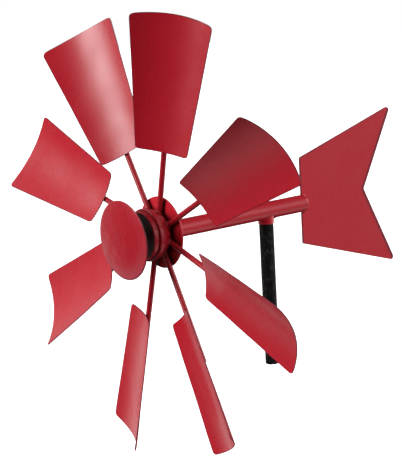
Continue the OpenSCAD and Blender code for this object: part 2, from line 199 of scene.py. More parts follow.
def vane_outline():
    """The vane's front edge, two long edges and two notch sides, as (y, z, inward normal y, z)."""
    low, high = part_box("tail_vane")
    to_local = nodes["tail_vane"].matrix_world.inverted()
    middle = (low.z + high.z) / 2
    front = middle + VANE_FRONT_RISE
    corners = ((low.y, front - VANE_HALF_FRONT), (low.y, front + VANE_HALF_FRONT),
               (high.y, middle + VANE_HALF_TIP),
               (high.y - VANE_NOTCH, middle + VANE_NOTCH_RISE),
               (high.y, middle - VANE_HALF_TIP))
    points = [to_local @ Vector((0, y, z)) for y, z in corners]
    outline = []
    for first, second in ((0, 1), (1, 2), (4, 0), (2, 3), (3, 4)):
        point = points[first]
        along = (points[second] - point).normalized()
        outline.append((point.y, point.z, along.z, -along.y))
    return outline


def paint_rim_sheen(tree, color, rough, rim, tone, cloud, shift):
    """Painted sheen: pale, dull colour near a round piece's rim, strongest low down; a dark lip of
    painted shade.
    """
    radius, width = rim
    away = tree.vector("SUBTRACT", tree.coord, HUB).outputs[0]
    flat = tree.vector("MULTIPLY", away, (1, 0, 1)).outputs[0]
    length = tree.node("ShaderNodeVectorMath", {0: flat}, operation="LENGTH").outputs["Value"]
    sheen_mask = tree.span(length, low=radius - width, high=radius)
    cloudy = tree.noise(scale=cloud * 1.3, shift=shift)
    sheen_mask = tree.times(sheen_mask, tree.span(cloudy, low=0.30, high=0.62, at_low=0.45))
    height = tree.node("ShaderNodeSeparateXYZ", {0: away}).outputs["Z"]
    sheen_mask = tree.times(sheen_mask, tree.span(height, low=-0.045, high=0.02, at_low=1.0, at_high=0.25))
    # painted sheen: pale greyish red near the rim, most of it low down
    color = tree.tint(color, sheen_mask, 0.55, other=rgb(0.40 * tone, 0.070, 0.090))
    rough = tree.roughen(rough, sheen_mask, amount=0.06)
    # painted shade: a dark line just inside the rim
    lip = tree.span(length, low=radius - 1.6 * MM, high=radius - 0.8 * MM)
    return tree.tint(color, lip, 0.65, other=EDGE_SHADE_RED), rough


def draw_outline(tree, color, outline, broken):
    """Painted shade: a dark line along the outline of the forked vane."""
    front, upper, lower, notch_upper, notch_lower = (tree.inward(*line) for line in outline)
    inside = tree.math("MINIMUM", tree.math("MINIMUM", front, upper), lower)
    notch = tree.math("MAXIMUM", notch_upper, notch_lower)
    inside = tree.math("MINIMUM", inside, notch)
    line = tree.span(inside, low=0.6 * MM, high=1.4 * MM, at_low=1.0, at_high=0.0)
    return tree.tint(color, line, tree.scaled(broken, by=0.10, plus=0.72), EDGE_SHADE_RED)


def draw_border(tree, color, border, broken):
    """Painted shade: a dark line along a sheet's edge, from the distances in the plan UV map."""
    uv_map = tree.node("ShaderNodeUVMap", uv_map="plan")
    plan = tree.node("ShaderNodeSeparateXYZ", {0: uv_map.outputs[0]}).outputs
    inside = tree.math("MINIMUM", plan["X"], plan["Y"])
    line = tree.span(inside, low=border * 0.55, high=border, at_low=1.0, at_high=0.0)
    return tree.tint(color, line, tree.scaled(broken, by=0.10, plus=0.86), EDGE_SHADE_RED)


def enamel(name, tone=1.0, rough=0.27, mottle=0.35, edge=0.75, edge_width=1.5, crisp=0.22,
           corner_shade=0.35, peel=1.0, cloud=6.0, specular=0.41, haze=0.0, rim=None, border=None,
           outline=None, seed=0.0):
    """Red enamel sprayed on steel: cloudy film, orange peel, fine dust, painted shade on thin edges
    and in corners.

    tone scales the red, a shade lighter or deeper to match how bright each piece looks under its
    light, so partly painted light and shade; mottle its clouds, cloud their fineness; edge,
    edge_width (mm) and crisp set the strength, width and cut-off of the painted shade on thin edges;
    corner_shade paints shade into corners, peel scales the bumps, haze adds dull smears.
    rim=(radius, width) paints a pale sheen near the rim of a round piece on the axle, strongest low
    down. border is the width in cm of a painted shade line on a blade, outline the lines that the
    vane's painted shade line follows.
    """
    tree = Tree(name)
    shift = (seed, seed * 0.37, seed * 0.71)
    base, deep, pale = (rgb(*(channel * tone for channel in red))
                        for red in (RED, RED_DEEP, RED_PALE))
    clouds = tree.noise(scale=cloud, shift=shift, distort=0.4)
    patches = tree.noise(scale=cloud * 4.5, detail=4.0, rough=0.55, shift=shift)
    grain = tree.noise(scale=900.0, detail=2.0, rough=0.6, shift=shift)
    color = tree.tint(base, tree.span(clouds, low=0.35, high=0.68), mottle, pale)
    color = tree.tint(color, tree.span(patches, low=0.45, high=0.80), mottle, deep)
    color = tree.mix(tree.span(grain, low=0.55, high=0.80, at_high=0.10), color, pale)
    rough = tree.scaled(tree.span(patches, low=0.3, high=0.7), by=0.05, plus=rough - 0.025)
    rough = tree.roughen(rough, tree.span(grain, low=0.4, high=0.8), amount=0.03)
    if haze:
        smear = tree.noise(scale=cloud * 1.6, shift=(seed + 3, seed, 1), distort=0.5)
        smear = tree.span(smear, low=0.40, high=0.72)
        color = tree.tint(color, smear, haze, other=rgb(0.43 * tone, 0.050, 0.062))
        rough = tree.roughen(rough, smear, amount=0.12 * haze)
    if rim:
        color, rough = paint_rim_sheen(tree, color, rough, rim, tone, cloud, shift)
    # painted shade: thin edges darkened as if their rims lay in shadow
    thin = tree.edges(edge_width * MM, low=0.01, high=crisp)
    broken = tree.span(tree.noise(scale=260.0, rough=0.6, shift=shift), low=0.36, high=0.60)
    edge_shade = tree.times(thin, tree.scaled(broken, by=0.1, plus=0.9))
    color = tree.tint(color, edge_shade, edge, EDGE_SHADE_RED)
    # painted shade: corners and recesses darkened through an occlusion mask
    color = tree.tint(color, tree.hollows(9 * MM), corner_shade, CORNER_SHADE_RED)
    rough = tree.roughen(rough, thin, amount=0.15)
    if outline:
        color = draw_outline(tree, color, outline, broken)
    if border:
        color = draw_border(tree, color, border, broken)
    orange_peel = tree.noise(scale=420.0, detail=2.0, shift=shift)
    dust = tree.noise(scale=1500.0, detail=1.0, shift=shift)
    dust = tree.span(dust, low=0.62, high=0.78)
    normal = tree.bumps((orange_peel, 0.030 * peel), (dust, 0.022 * peel))
    return tree.shade(color, rough, normal, specular=specular)


# ---------------------------------------------------------------- other finishes

def satin_black(name):
    """Brushed-on satin black over rough pipe, with lighter specks painted in as glints."""
    black, soft_black = rgb(0.0040, 0.0042, 0.0044), rgb(0.0085, 0.0088, 0.0092)
    glint_grey, chipped = rgb(0.040, 0.040, 0.041), rgb(0.06, 0.056, 0.052)
    tree = Tree(name)
    mill = tree.noise(scale=60.0, detail=5.0, rough=0.6, stretch=(1, 1, 0.25))
    rub = tree.noise(scale=210.0, detail=4.0, rough=0.65, stretch=(1, 1, 0.6))
    fine = tree.noise(scale=800.0, rough=0.6)
    color = tree.mix(tree.span(mill, low=0.35, high=0.70), black, soft_black)
    # painted highlight: lighter grey specks standing for glints on the rough paint
    color = tree.mix(tree.span(rub, low=0.52, high=0.66, at_high=0.80), color, glint_grey)
    thin = tree.edges(1.0 * MM)
    chips = tree.times(thin, tree.span(rub, low=0.42, high=0.62))
    color = tree.tint(color, chips, 0.5, chipped)
    rough = tree.scaled(tree.span(mill, low=0.3, high=0.7), by=0.16, plus=0.50)
    rough = tree.roughen(rough, tree.span(fine, low=0.4, high=0.7), amount=0.06)
    normal = tree.bumps((mill, 0.55), (rub, 0.34), (fine, 0.04))
    return tree.shade(color, rough, normal, specular=0.07)


def moulded_rubber(name):
    """Greasy black rubber with a mould skin."""
    black, greasy, dusty = rgb(0.005, 0.004, 0.004), rgb(0.022, 0.018, 0.017), rgb(0.05, 0.045, 0.04)
    tree = Tree(name)
    smear = tree.noise(scale=120.0, detail=4.0, rough=0.6, distort=0.8)
    fine = tree.noise(scale=900.0, rough=0.6)
    color = tree.mix(tree.span(smear, low=0.45, high=0.75), black, greasy)
    color = tree.tint(color, tree.hollows(2.5 * MM), 0.35, dusty)
    rough = tree.scaled(tree.span(smear, low=0.4, high=0.7), by=-0.22, plus=0.52)
    normal = tree.bumps((smear, 0.18), (fine, 0.03))
    return tree.shade(color, rough, normal, specular=0.30)


def steel(name, base=(0.46, 0.465, 0.475), rough=0.32, turned=True, wear=0.6, seed=0.0):
    """Bare steel: lathe marks or rolled skin, darker brown in the corners, bright edges."""
    corner_dark, bright = rgb(0.06, 0.045, 0.035), rgb(0.78, 0.78, 0.79)
    dark = rgb(*(channel * 0.62 for channel in base))
    line_scale, line_stretch = (2600.0, (0.05, 1.0, 0.05)) if turned else (700.0, (1, 1, 1))
    tree = Tree(name)
    shift = (seed, seed, seed)
    patch = tree.noise(scale=90.0, detail=4.0, rough=0.6, shift=shift)
    lines = tree.noise(scale=line_scale, detail=2.0, shift=shift, stretch=line_stretch)
    color = tree.mix(tree.span(patch, low=0.35, high=0.7), rgb(*base), dark)
    # darker brown in the corners, through an occlusion mask
    color = tree.tint(color, tree.hollows(3 * MM), 0.6, corner_dark)
    thin = tree.edges(0.5 * MM)
    color = tree.tint(color, thin, wear, bright)
    rough = tree.scaled(tree.span(patch, low=0.3, high=0.7), by=0.14, plus=rough - 0.05)
    rough = tree.math("SUBTRACT", rough, tree.times(thin, 0.08))
    normal = tree.bumps((lines, 0.012), (patch, 0.02))
    return tree.shade(color, rough, normal, metallic=1.0)


def sintered_bronze(name):
    """Porous bronze with darker patches and edges worn bright."""
    bronze, brown = rgb(0.42, 0.24, 0.10), rgb(0.27, 0.14, 0.055)
    pore, bright = rgb(0.06, 0.03, 0.015), rgb(0.62, 0.42, 0.20)
    tree = Tree(name)
    pores = tree.noise(scale=1400.0, rough=0.6)
    patch = tree.noise(scale=110.0, detail=4.0, rough=0.6)
    color = tree.mix(tree.span(patch, low=0.35, high=0.7), bronze, brown)
    color = tree.mix(tree.span(pores, low=0.60, high=0.72), color, pore)
    color = tree.tint(color, tree.edges(0.4 * MM), 0.5, bright)
    rough = tree.scaled(tree.span(pores, low=0.4, high=0.7), by=0.2, plus=0.34)
    return tree.shade(color, rough, tree.bumps((pores, 0.03)), metallic=1.0)


# each blade's red, a shade lighter or deeper, set to match how bright the blade looks under its
# light: painted light and shade
BLADE_LIGHT_TONES = (1.04, 1.08, 1.12, 1.14, 1.04, 1.0, 1.0, 0.93)
BLADE_PAINTS = [enamel("blade_enamel_%d" % (k + 1), tone=tone, mottle=0.16, border=0.12,
                       seed=1.7 * k + 0.3) for k, tone in enumerate(BLADE_LIGHT_TONES)]
# the tones of the pieces below are likewise set to match how bright each looks under its light:
# partly painted light and shade
ROD_PAINT = enamel("rod_enamel", tone=0.84, mottle=0.30, edge=0.35, cloud=18.0, specular=0.30,
                   seed=21.0)
HUB_PAINT = enamel("hub_enamel", tone=0.86, edge=0.0, corner_shade=0.85, cloud=26.0, specular=0.33,
                   haze=0.04, seed=33.0)
PLATE_PAINT = enamel("plate_enamel", tone=1.30, edge=0.45, edge_width=1.0, corner_shade=0.90, cloud=22.0,
                     haze=0.06, seed=37.0)
NOSE_PAINT = enamel("nose_enamel", tone=0.90, mottle=0.50, edge=0.0, cloud=24.0, specular=0.26,
                    rim=(56 * MM, 26 * MM), seed=41.0)
TUBE_PAINT = enamel("tube_enamel", tone=1.12, rough=0.21, mottle=0.20, edge=0.35, cloud=14.0,
                    seed=51.0)
WELD_PAINT = enamel("weld_enamel", tone=0.9, mottle=0.50, edge=0.0, corner_shade=0.70, cloud=70.0,
                    peel=1.6, haze=0.2, seed=57.0)
VANE_PAINT = enamel("vane_enamel", tone=1.26, mottle=0.10, edge=0.95, edge_width=2.6, crisp=0.07,
                    outline=vane_outline(), corner_shade=0.2, cloud=5.0, specular=0.36, seed=61.0)
CAP_PAINT = enamel("cap_enamel", tone=1.16, mottle=0.30, edge=0.0, corner_shade=0.12, cloud=30.0,
                   peel=1.4, specular=0.34, seed=67.0)
POST_PAINT = satin_black("post_paint")
SEAL_RUBBER = moulded_rubber("seal_rubber")
SHIELD_RUBBER = moulded_rubber("shield_rubber")
TURNED_STEEL = steel("turned_steel")
GROUND_STEEL = steel("ground_steel", base=(0.62, 0.63, 0.65), rough=0.16, wear=0.3, seed=5.0)
BALL_STEEL = steel("polished_steel", base=(0.70, 0.71, 0.73), rough=0.08, turned=False, wear=0.0,
                   seed=7.0)
BRONZE = sintered_bronze("bush_bronze")


# ---------------------------------------------------------------- mesh helpers

def make(name, verts, faces, material, smooth=True):
    mesh = bpy.data.meshes.new(name)
    mesh.from_pydata([tuple(vert) for vert in verts], [], faces)
    mesh.validate()
    mesh.update()
    for polygon in mesh.polygons:
        polygon.use_smooth = smooth
    mesh.materials.append(material)
    piece = bpy.data.objects.new(name, mesh)
    bpy.context.scene.collection.objects.link(piece)
    return piece


def outward(piece):
    """Face normals point out of the closed piece."""
    work = bmesh.new()
    work.from_mesh(piece.data)
    bmesh.ops.recalc_face_normals(work, faces=work.faces)
    work.to_mesh(piece.data)
    work.free()


def make_closed(name, verts, faces, material):
    piece = make(name, verts, faces, material)
    outward(piece)
    return piece


def enlist(piece, body, replaced=None):
    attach(piece, body)
    if replaced:
        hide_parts(replaced)


def settle(piece):
    """Keep the result of the modifiers as the mesh."""
    bpy.context.view_layer.update()
    graph = bpy.context.evaluated_depsgraph_get()
    mesh = bpy.data.meshes.new_from_object(piece.evaluated_get(graph),
                                           preserve_all_data_layers=True, depsgraph=graph)
    piece.modifiers.clear()
    old = piece.data
    piece.data = mesh
    bpy.data.meshes.remove(old)


def round_edges(piece, width, segments, angle):
    bevel = piece.modifiers.new("round_edges", "BEVEL")
    bevel.width = width
    bevel.segments = segments
    bevel.limit_method = "ANGLE"
    bevel.angle_limit = math.radians(angle)
    bevel.use_clamp_overlap = True
    bevel.harden_normals = True


def finish(name, material, width=0.0, segments=2, angle=30.0):
    """Give a CAD piece its material and, with a width in mm, rounded edges."""
    piece = nodes[name]
    piece.data.materials.clear()
    piece.data.materials.append(material)
    if width:
        round_edges(piece, width * MM, segments, angle)


def lathe(name, profile, material, segments, origin, axis, wobble):
    """Closed ring or disc from (radius, distance along the axis). Radius 0 closes a pole.

    wobble turns a radius, distance and angle into a new radius and distance.
    """
    points, rows = [], []
    for radius, distance in profile:
        count = 1 if radius < 1e-9 else segments
        rows.append(range(len(points), len(points) + count))
        for k in range(count):
            angle = 2 * math.pi * k / segments
            reach, along = wobble(radius, distance, angle)
            x, turned = reach * math.cos(angle), reach * math.sin(angle)
            point = Vector((x, along, turned) if axis == "y" else (x, turned, along))
            points.append(point + origin)
    pairs = list(zip(rows, rows[1:]))
    if len(rows[0]) > 1 and len(rows[-1]) > 1:
        pairs.append((rows[-1], rows[0]))
    faces = []
    for row, after in pairs:
        for k in range(segments):
            k2 = (k + 1) % segments
            if len(row) == 1:
                faces.append((row[0], after[k], after[k2]))
            elif len(after) == 1:
                faces.append((row[k2], row[k], after[0]))
            else:
                faces.append((row[k2], row[k], after[k], after[k2]))
    return make_closed(name, points, faces, material)


# weld metal: relative height and spacing of its ripples, relative size and fineness of its lumps
RIPPLE, RIPPLE_PITCH = 0.10, 2.3 * MM
LUMP, LUMP_SCALE = 0.22, 240


def add_bead(verts, faces, path, radius, seed, flat, sides=10, closed=False):
    """Add a run of weld metal along path, a list of (point, up). Open runs have tapered ends."""
    points = [Vector(point) for point, _ in path]
    count = len(points)
    lengths = [0.0]
    for before, point in zip(points, points[1:]):
        lengths.append(lengths[-1] + (point - before).length)
    first = len(verts)
    for i, point in enumerate(points):
        if closed:
            tangent = (points[(i + 1) % count] - points[i - 1]).normalized()
        else:
            tangent = (points[min(i + 1, count - 1)] - points[max(i - 1, 0)]).normalized()
        up = Vector(path[i][1])
        up = (up - tangent * up.dot(tangent)).normalized()
        side = tangent.cross(up)
        taper = 1.0
        if not closed:
            inside = min(lengths[i], lengths[-1] - lengths[i]) / (1.6 * radius)
            taper = max(math.sqrt(max(0.0, 1 - (1 - min(1.0, inside)) ** 2)), 0.12)
        wave = 1 + RIPPLE * math.sin(2 * math.pi * lengths[i] / RIPPLE_PITCH + seed)
        lump = 1 + LUMP * noise.noise(point * LUMP_SCALE + Vector((seed, seed, seed)))
        for k in range(sides):
            angle = 2 * math.pi * k / sides
            reach = radius * taper * lump * (wave if math.sin(angle) > 0 else 1.0)
            verts.append(point + side * (reach * math.cos(angle))
                         + up * (reach * flat * math.sin(angle)))
    for i in range(count if closed else count - 1):
        ring, after = first + i * sides, first + ((i + 1) % count) * sides
        for k in range(sides):
            k2 = (k + 1) % sides
            faces.append((ring + k, ring + k2, after + k2, after + k))
    if not closed:
        last = first + (count - 1) * sides
        faces.append(tuple(reversed(range(first, first + sides))))
        faces.append(tuple(range(last, last + sides)))


# ---------------------------------------------------------------- wind wheel
# The wheel's plan, in millimetres and degrees, as it is set out on the bench.

WHEEL_R, TIP_RISE, ROOT_R = 312.5, 5.5, 123.4     # blade tip, its bulge, blade root
ROOT_HALF, TIP_HALF = 38.6, 58.9                  # half widths of a blade
CUP_R, ROLL_SKEW, BLADE_T = 131.0, 2.8, 1.4
SPOKE_R, SPOKE_END, SEAM_GAP = 3.97, 194.1, 0.02
SEAT = SPOKE_R + SEAM_GAP + BLADE_T / 2
SPOKES = 8
STEP = 360 // SPOKES
FIRST_ANGLE, WHEEL_TIP, WHEEL_SWING = 75.0, -0.7, -0.6
# How the blades were set by hand: steepest near the first spoke, and the spokes' spacing and
# lean a little uneven.
PITCH, PITCH_EXTRA, STEEPEST_AT, STEEP_SLIP, TILT = 18.8, 14.0, 12.0, 2.5, 1.2
CLOCK_ONCE, CLOCK_TWICE, CLOCK_FROM, LEAN, LEAN_STAGGER = 1.0, 1.8, 8.5, 0.8, 0.3

BLADE_ROWS, BLADE_COLUMNS = 20, 10
# uneven sheet: height in mm, and fineness along x and y
BUCKLE, BUCKLE_SCALE = 0.45, 0.022
DENT, DENT_SCALE = 0.12, 0.07

# stitches on a spoke: start and end from its tip; then the beads' spacing of points, their
# shift along the rod between the two sides, and where they lie beside and above its axis
STITCHES = ((-52, -39), (-32, -19), (-13, -2))
STITCH_STEP, STITCH_SHIFT, STITCH_SIDE, STITCH_RISE, STITCH_R = 0.6, 0.8, 3.35, 2.25, 1.75
# ring of weld at a spoke's foot: points, radius, place along the spoke, slope and bead radius
FOOT_POINTS, FOOT_RING_R, FOOT_AT, FOOT_SLOPE, FOOT_BEAD_R = 52, 4.6, 30.3, 0.64, 1.45


def rot(axis, degrees):
    return Matrix.Rotation(math.radians(degrees), 4, axis)


def steepness(i):
    return ((1 + math.cos(math.radians(STEP * i - STEEPEST_AT))) / 2) ** 2


def slip(i):
    return -STEEP_SLIP * steepness(i)


def clock(i):
    return (CLOCK_ONCE * math.sin(math.radians(STEP * i))
            + CLOCK_TWICE * math.cos(math.radians(2 * (STEP * i - CLOCK_FROM))))


def lean(i):
    return LEAN + (LEAN_STAGGER if i % 2 == 0 else -LEAN_STAGGER)


WHEEL_PLANE = Matrix.Translation(HUB) @ rot("Z", WHEEL_SWING) @ rot("X", WHEEL_TIP)


def spoke_frame(i):
    """+X runs out along the spoke, +Z towards the front of the wheel."""
    angle = FIRST_ANGLE + STEP * i + clock(i)
    return WHEEL_PLANE @ rot("Y", -angle) @ rot("X", 90) @ rot("Y", -lean(i))


def seat_frame(i):
    pitch = PITCH + PITCH_EXTRA * steepness(i)
    return spoke_frame(i) @ Matrix.Translation((slip(i) * MM, 0, 0)) @ rot("X", pitch)


def tip_at(i):
    return SPOKE_END - slip(i) + 0.5


def blade_frame(i):
    """The seat, tilted about the spoke's tip."""
    tip = tip_at(i) * MM
    return (seat_frame(i) @ Matrix.Translation((tip, 0, SEAT * MM)) @ rot("Y", TILT)
            @ Matrix.Translation((-tip, 0, 0)))


def cup_height(x, y):
    skew = math.radians(ROLL_SKEW)
    across = (x - (WHEEL_R + ROOT_R) / 2) * math.sin(skew) + y * math.cos(skew)
    return CUP_R - math.sqrt(CUP_R * CUP_R - across * across)


def half_width(share):
    return ROOT_HALF + (TIP_HALF - ROOT_HALF) * share


def write_plan(mesh):
    """UV map with the distances to a blade's ends and sides, in centimetres."""
    plan = mesh.uv_layers.new(name="plan")
    for loop in mesh.loops:
        row, column = divmod(loop.vertex_index, BLADE_COLUMNS + 1)
        share = row / BLADE_ROWS
        inside = 1 - abs(2 * column / BLADE_COLUMNS - 1)
        along = min(share, 1 - share) * (WHEEL_R - ROOT_R) / 10
        plan.data[loop.index].uv = (along, inside * half_width(share) / 10)


def blade_sheet(i):
    """A cupped trapezoid of sheet: a coarse cage, subdivided, then thickened."""
    place = blade_frame(i)
    verts, faces = [], []
    for row in range(BLADE_ROWS + 1):
        share = row / BLADE_ROWS
        for column in range(BLADE_COLUMNS + 1):
            across = 2 * column / BLADE_COLUMNS - 1
            y = across * half_width(share)
            x = ROOT_R + share * (WHEEL_R + TIP_RISE * (1 - across * across) - ROOT_R)
            z = cup_height(x, y)
            z += BUCKLE * noise.noise(
                Vector((x * BUCKLE_SCALE + 7.3 * i, y * BUCKLE_SCALE, 3.1)))
            z += DENT * noise.noise(Vector((x * DENT_SCALE, y * DENT_SCALE + 5.7 * i, 8.2)))
            verts.append(place @ Vector((x * MM, y * MM, z * MM)))
    stride = BLADE_COLUMNS + 1
    for row in range(BLADE_ROWS):
        for column in range(BLADE_COLUMNS):
            k = row * stride + column
            faces.append((k, k + stride, k + stride + 1, k + 1))
    piece = make("blade_skin_%d" % (i + 1), verts, faces, BLADE_PAINTS[i])
    write_plan(piece.data)
    subdivide = piece.modifiers.new("smooth", "SUBSURF")
    subdivide.levels = subdivide.render_levels = 2
    thicken = piece.modifiers.new("thickness", "SOLIDIFY")
    thicken.thickness = BLADE_T * MM
    thicken.offset = 0.0
    thicken.use_even_offset = True
    round_edges(piece, 0.42 * MM, segments=3, angle=50.0)
    settle(piece)
    outward(piece)
    enlist(piece, "wheel", "blade_%d" % (i + 1))


def blade_welds(i):
    """Three stitches on each side of the spoke, on the back of the blade."""
    place = seat_frame(i)
    rise = math.sin(math.radians(TILT))
    verts, faces = [], []
    for stitch, (start, end) in enumerate(STITCHES):
        gap = -rise * (start + end) / 2           # the sheet stands off its rod towards the root
        steps = int((end - start) / STITCH_STEP)
        for side in (-1, 1):
            up = (place.to_3x3() @ Vector((0, side * 0.7, -0.7))).normalized()
            path = []
            for k in range(steps + 1):
                x = tip_at(i) + start + (end - start) * k / steps + STITCH_SHIFT * side
                wander = 0.25 * noise.noise(Vector((x * 0.3, side * 4.0, i * 3.0)))
                y = side * (STITCH_SIDE + wander)
                z = STITCH_RISE + 0.55 * gap
                path.append((place @ Vector((x * MM, y * MM, z * MM)), up))
            uneven = 0.15 * noise.noise(Vector((i * 1.7, stitch * 2.3, side)))
            add_bead(verts, faces, path, (STITCH_R + 0.4 * gap + uneven) * MM,
                     seed=i * 1.3 + stitch + side, flat=0.85)
    piece = make_closed("blade_weld_%d" % (i + 1), verts, faces, WELD_PAINT)
    enlist(piece, "wheel")


def spoke_root_weld(i):
    """A run of weld round the foot of a spoke, on the tapered barrel."""
    place = spoke_frame(i)
    verts, faces, path = [], [], []
    for k in range(FOOT_POINTS):
        angle = 2 * math.pi * k / FOOT_POINTS
        y, z = FOOT_RING_R * math.cos(angle), FOOT_RING_R * math.sin(angle)
        x = FOOT_AT + FOOT_SLOPE * z - y * y / 60
        up = place.to_3x3() @ Vector((0.7, math.cos(angle) * 0.7, math.sin(angle) * 0.7))
        path.append((place @ Vector((x * MM, y * MM, z * MM)), up.normalized()))
    add_bead(verts, faces, path, FOOT_BEAD_R * MM, seed=i * 2.1, flat=0.9, closed=True)
    piece = make_closed("spoke_weld_%d" % (i + 1), verts, faces, WELD_PAINT)
    enlist(piece, "wheel")


for i in range(SPOKES):
    blade_sheet(i)
    blade_welds(i)
    spoke_root_weld(i)
    finish("spoke_%d" % (i + 1), ROD_PAINT, width=0.5, angle=35.0)


# ---------------------------------------------------------------- nose disc

NOSE_R, NOSE_REACH, NOSE_CROWN, NOSE_T = 55.9 * MM, 59.7 * MM, 4 * MM, 2 * MM
NOSE_TIP, NOSE_SWING, NOSE_DROP = 1.6, -0.8, 1.1 * MM
NOSE_ROLL_R = 1.05 * MM                           # section of the rolled rim
NOSE_FRONT_R, NOSE_BACK_R = NOSE_R - 1.2 * MM, NOSE_R - 1.4 * MM    # where the faces end


def nose_front(radius):
    """Height of the front face over the rim's plane: a cap of a ball."""
    ball = (NOSE_R * NOSE_R + NOSE_CROWN * NOSE_CROWN) / (2 * NOSE_CROWN)
    return NOSE_CROWN - ball + math.sqrt(ball * ball - radius * radius)


def hammer_nose(radius, distance, angle):
    """Slight dents, shallower towards the rim."""
    point = Vector((radius * math.cos(angle), radius * math.sin(angle), 0)) * 1000
    fade = max(0.0, 1 - radius / NOSE_R) ** 0.4
    dent = (0.34 * noise.noise(point * 0.06 + Vector((3, 1, 4)))
            + 0.16 * noise.noise(point * 0.15))
    return min(radius, NOSE_R), distance + dent * MM * (0.35 + 0.65 * fade)


def nose_skin():
    """A dished disc with a rolled rim, slightly hammered, welded a little out of square."""
    profile = [(0.0, -nose_front(0))]
    for k in range(1, 27):
        radius = NOSE_FRONT_R * k / 26
        profile.append((radius, -nose_front(radius)))
    roll_at = -(nose_front(NOSE_FRONT_R) - NOSE_ROLL_R)
    for k in range(1, 8):
        angle = math.radians(80 - 160 * k / 8)
        profile.append((NOSE_R - NOSE_ROLL_R + NOSE_ROLL_R * math.cos(angle),
                        roll_at - NOSE_ROLL_R * math.sin(angle)))
    for k in range(24, 0, -1):
        radius = NOSE_BACK_R * k / 24
        profile.append((radius, -nose_front(radius) + NOSE_T))
    profile.append((0.0, -nose_front(0) + NOSE_T))
    piece = lathe("nose_skin", profile, NOSE_PAINT, segments=160, origin=Vector((0, 0, 0)),
                  axis="y", wobble=hammer_nose)
    middle = HUB + Vector((0, -NOSE_REACH, -NOSE_DROP))
    piece.data.transform(Matrix.Translation(middle) @ rot("Z", NOSE_SWING) @ rot("X", NOSE_TIP))
    enlist(piece, "head", "nose_disc")


nose_skin()


# ---------------------------------------------------------------- post

# the bore, the wider seat above it and the height of the step between them
POST_BORE, POST_SEAT, POST_STEP_Z = 7.9 * MM, 8.6 * MM, 150 * MM
POST_NOISE_R = 10.6                               # radius, in mm, at which the lumps are read


def post_skin():
    """A pipe with a stepped bore, rounded ends, lumps and dents."""
    low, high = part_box("post_tube")
    radius = (high.x - low.x) / 2
    top, foot = high.z, low.z
    chamfer = 0.9 * MM
    profile = [(POST_BORE, foot + 0.5 * MM), (POST_BORE + 0.5 * MM, foot),
               (radius - 0.7 * MM, foot), (radius - 0.15 * MM, foot + 0.35 * MM),
               (radius, foot + chamfer)]
    profile += [(radius, foot + chamfer + (top - foot - 2 * chamfer) * k / 110)
                for k in range(1, 110)]
    seat_top = top - 0.3 * MM
    profile += [(radius, top - chamfer), (radius - 0.2 * MM, seat_top),
                (radius - 0.8 * MM, top), (POST_SEAT + 0.3 * MM, top), (POST_SEAT, seat_top)]
    profile += [(POST_SEAT, seat_top - (seat_top - POST_STEP_Z) * k / 8) for k in range(1, 8)]
    profile += [(POST_SEAT, POST_STEP_Z + 0.4 * MM), (POST_BORE, POST_STEP_Z)]
    profile += [(POST_BORE, POST_STEP_Z + (foot + 0.5 * MM - POST_STEP_Z) * k / 10)
                for k in range(1, 10)]
    # angle, height, radius, depth in mm
    dents = ((-0.6, top - 14 * MM, 6 * MM, 0.55), (-1.1, top - 27 * MM, 5 * MM, 0.45),
             (-0.2, top - 36 * MM, 7 * MM, 0.35), (-0.9, top - 70 * MM, 8 * MM, 0.25),
             (2.4, top - 48 * MM, 9 * MM, 0.4), (-0.4, foot + 24 * MM, 7 * MM, 0.35))

    def batter(reach, height, angle):
        """Lumps and dents on the outside, and an uneven foot."""
        if reach > radius - 1.0 * MM:
            x, y = math.cos(angle) * POST_NOISE_R, math.sin(angle) * POST_NOISE_R
            z = height * 1000
            reach -= (0.05 + 0.10 * noise.noise(Vector((x * 0.09, y * 0.09, z * 0.035)))
                      + 0.07 * noise.noise(Vector((x, y, z)) * 0.33)) * MM
            for dent_angle, dent_height, size, deep in dents:
                turn = (angle - dent_angle + math.pi) % (2 * math.pi) - math.pi
                away = math.hypot(turn * radius, height - dent_height) / size
                reach -= deep * MM * max(0.0, 1 - away) ** 2
            reach = min(reach, radius)
        if height < foot + 1.2 * MM:
            uneven = noise.noise(Vector((math.cos(angle) * 1.5, math.sin(angle) * 1.5, 9)))
            share = 1 if reach > POST_BORE + 0.2 * MM else 0.5
            height += (0.25 + 0.25 * uneven) * MM * share
        return reach, height

    piece = lathe("post_skin", profile, POST_PAINT, segments=96, origin=Vector((0, 0, 0)),
                  axis="z", wobble=batter)
    enlist(piece, "post", "post_tube")


post_skin()


# ---------------------------------------------------------------- weld at the collar

